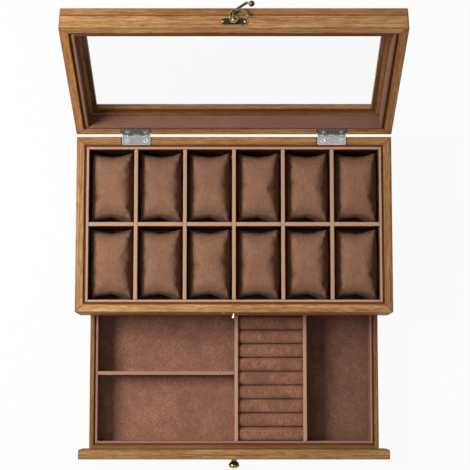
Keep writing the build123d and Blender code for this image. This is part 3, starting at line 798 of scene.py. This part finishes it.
def stuffed(work, size):
    """Inflates a sleeve as cloth, its end seams held, until the walls of its slot stop it."""
    scene = bpy.context.scene
    mesh = bpy.data.meshes.new("sleeve")
    work.to_mesh(mesh)
    work.free()
    sleeve = bpy.data.objects.new("sleeve", mesh)
    scene.collection.objects.link(sleeve)
    even = sleeve.modifiers.new("even", "REMESH")
    even.mode = "VOXEL"
    even.voxel_size = pillow_voxel
    depsgraph = bpy.context.evaluated_depsgraph_get()
    sleeve.data = bpy.data.meshes.new_from_object(sleeve.evaluated_get(depsgraph))
    sleeve.modifiers.clear()
    start = [v.co.copy() for v in sleeve.data.vertices]
    seams = sleeve.vertex_groups.new(name="seams")
    for number, point in enumerate(start):
        across = min(1.0, abs(point.x) / size.x * 2)
        seam = size.y / 2 - pillow_pinch * (1 - across * across) - pillow_seam
        held = (abs(point.y) - seam) / pillow_seam * 2
        if held > 0:
            seams.add([number], min(1.0, held), "REPLACE")
    cloth = sleeve.modifiers.new("cloth", "CLOTH")
    cloth.settings.use_pressure = True
    cloth.settings.uniform_pressure_force = pillow_pressure
    cloth.settings.shrink_min = -pillow_slack
    cloth.settings.effector_weights.gravity = 0.0
    cloth.settings.vertex_group_mass = "seams"
    cloth.point_cache.frame_start = 1
    cloth.point_cache.frame_end = pillow_frames
    for step in range(1, pillow_frames + 1):
        scene.frame_set(step)
    depsgraph = bpy.context.evaluated_depsgraph_get()
    filled = bpy.data.meshes.new_from_object(sleeve.evaluated_get(depsgraph))
    bpy.data.objects.remove(sleeve)
    scene.frame_set(1)
    for point, corner in zip(start, filled.vertices):
        move = corner.co - point
        if move.length > pillow_cap:
            move *= pillow_cap / move.length
        place = point + move
        corner.co.x = max(-size.x / 2, min(size.x / 2, place.x))
        corner.co.y = max(-size.y / 2, min(size.y / 2, place.y))
        corner.co.z = max(0.0, min(size.z, place.z))
    done = bmesh.new()
    done.from_mesh(filled)
    bpy.data.meshes.remove(filled)
    return done


pillow_low, pillow_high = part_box("pillow_01")
pillow_size = pillow_high - pillow_low
sleeve_size = pillow_size - Vector((pillow_swell, 0.0, pillow_swell + pillow_settle))
shapes = []
for number in range(pillow_shapes):
    work = pillow_start(sleeve_size, number * pillow_seed_step)
    work = stuffed(work, pillow_size)
    mesh = bpy.data.meshes.new("shape")
    work.to_mesh(mesh)
    work.free()
    shapes.append(mesh)

# Neighbours take different shapes, and every other pillow is mirrored
for number in range(1, pillow_count + 1):
    node = f"pillow_{number:02d}"
    low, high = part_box(node)
    work = bmesh.new()
    work.from_mesh(shapes[(number * 3 + number // 4) % pillow_shapes])
    if number % 2:
        bmesh.ops.scale(work, verts=work.verts, vec=(-1, 1, 1))
    bmesh.ops.translate(work, verts=work.verts, vec=((low.x + high.x) / 2, (low.y + high.y) / 2, low.z))
    cushion = new_piece(f"{node}_cushion", work, pillow_cloth, node, node, slot="pillow_velvet")
    finer = cushion.modifiers.new("finer", "SUBSURF")
    finer.levels = 1
    finer.render_levels = 1


# Room

def area_light(name, place, target, size, power):
    """A square white light at a place, aimed at the target."""
    lamp = bpy.data.lights.new(name, "AREA")
    lamp.shape = "SQUARE"
    lamp.size = size
    lamp.energy = power
    stand = bpy.data.objects.new(name, lamp)
    stand.location = place
    stand.rotation_euler = (Vector(target) - Vector(place)).to_track_quat("-Z", "Y").to_euler()
    bpy.context.scene.collection.objects.link(stand)


tray_middle = (0, 0, 0.05)
lid_middle = (0, 0.15, 0.2)
area_light("key_light", (-0.95, 0.08, 1.02), tray_middle, size=0.5, power=23.5)
area_light("fill_light", (0.45, -0.3, 2.1), tray_middle, size=1.2, power=6.0)
area_light("back_light", (-0.6, 1.1, 1.7), lid_middle, size=0.4, power=6.0)
area_light("front_light", (-0.3, -1.9, 0.5), tray_middle, size=0.9, power=3.5)

world = bpy.data.worlds.new("studio")
bpy.context.scene.world = world
world.use_nodes = True
world.node_tree.nodes.clear()
n = Nodes(world.node_tree)
direction = n.add("ShaderNodeSeparateXYZ")
n.link(n.add("ShaderNodeTexCoord").outputs["Generated"], direction.inputs[0])
sky = n.add("ShaderNodeBackground")
n.link(n.ramp(direction.outputs["Z"], (0.0, 0.2), (0.25, 0.15), (1.0, 0.12)), sky.inputs["Color"])
sky.inputs["Strength"].default_value = 1.0
n.link(sky.outputs[0], n.add("ShaderNodeOutputWorld").inputs["Surface"])

work = bmesh.new()
bmesh.ops.create_grid(work, x_segments=8, y_segments=8, size=floor_reach)
floor_mesh = bpy.data.meshes.new("floor")
work.to_mesh(floor_mesh)
work.free()
floor = bpy.data.objects.new("floor", floor_mesh)
bpy.context.scene.collection.objects.link(floor)
paper = bpy.data.materials.new("paper")
paper.use_nodes = True
paper.node_tree.nodes.clear()
n = Nodes(paper.node_tree)
matte = n.add("ShaderNodeBsdfDiffuse")
matte.inputs["Color"].default_value = (floor_grey, floor_grey, floor_grey, 1)
white = n.add("ShaderNodeEmission")
white.inputs["Color"].default_value = (1, 1, 1, 1)
white.inputs["Strength"].default_value = 1.0
path = n.add("ShaderNodeLightPath")
seen = n.math("ADD", path.outputs["Is Camera Ray"], path.outputs["Is Glossy Ray"], clamp=True)
seen = n.math("ADD", seen, path.outputs["Is Transmission Ray"], clamp=True)
both = n.add("ShaderNodeMixShader")
n.link(n.math("MULTIPLY", seen, floor_white), both.inputs[0])
n.link(matte.outputs[0], both.inputs[1])
n.link(white.outputs[0], both.inputs[2])
n.link(both.outputs[0], n.add("ShaderNodeOutputMaterial").inputs["Surface"])
floor_mesh.materials.append(paper)

lens = bpy.data.cameras.new("camera")
lens.lens = camera_lens
lens.sensor_width = camera_sensor
camera = bpy.data.objects.new("camera", lens)
camera.location = camera_place
camera.rotation_euler = (camera_tilt, 0, 0)
bpy.context.scene.collection.objects.link(camera)
bpy.context.scene.camera = camera
bpy.context.scene.view_settings.view_transform = "Standard"
